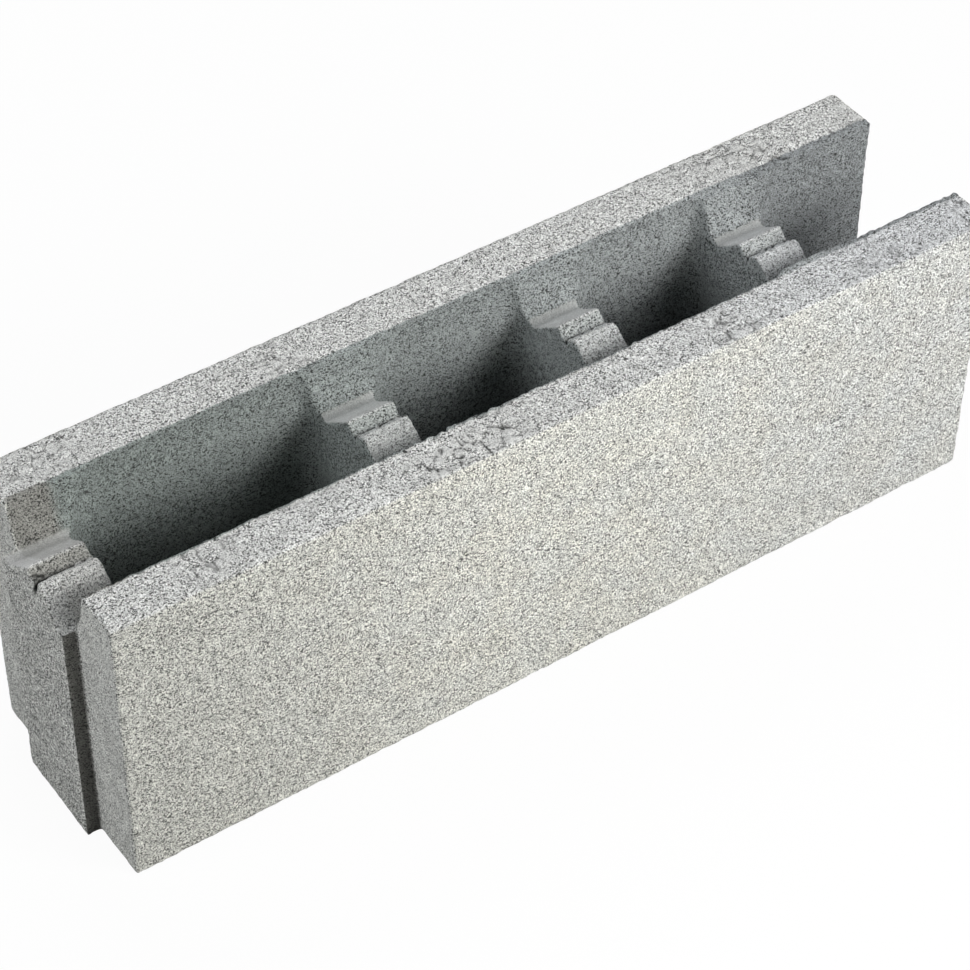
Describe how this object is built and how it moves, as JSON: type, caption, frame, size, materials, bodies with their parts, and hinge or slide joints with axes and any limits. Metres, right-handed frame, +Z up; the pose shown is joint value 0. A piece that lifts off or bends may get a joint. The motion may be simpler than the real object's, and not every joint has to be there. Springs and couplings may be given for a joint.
{
  "type": "concrete shuttering block",
  "caption": "Hollow concrete shuttering block: face shells joined by low notched webs, cells open top and bottom, a tongue at one end and an open half cell at the other.",
  "frame": {"origin": "centre of the bounding box on the bed, the plane that the block stands on", "axes": "+X along the block from the tongue to the open half cell, +Y through the wall from the front shell to the back shell, +Z up"},
  "size_m": [0.609, 0.15, 0.2],
  "materials": {
    "concrete": "rough cast, fine open grain"
  },
  "bodies": {
    "root": {"block": "concrete"}
  },
  "joints": []
}
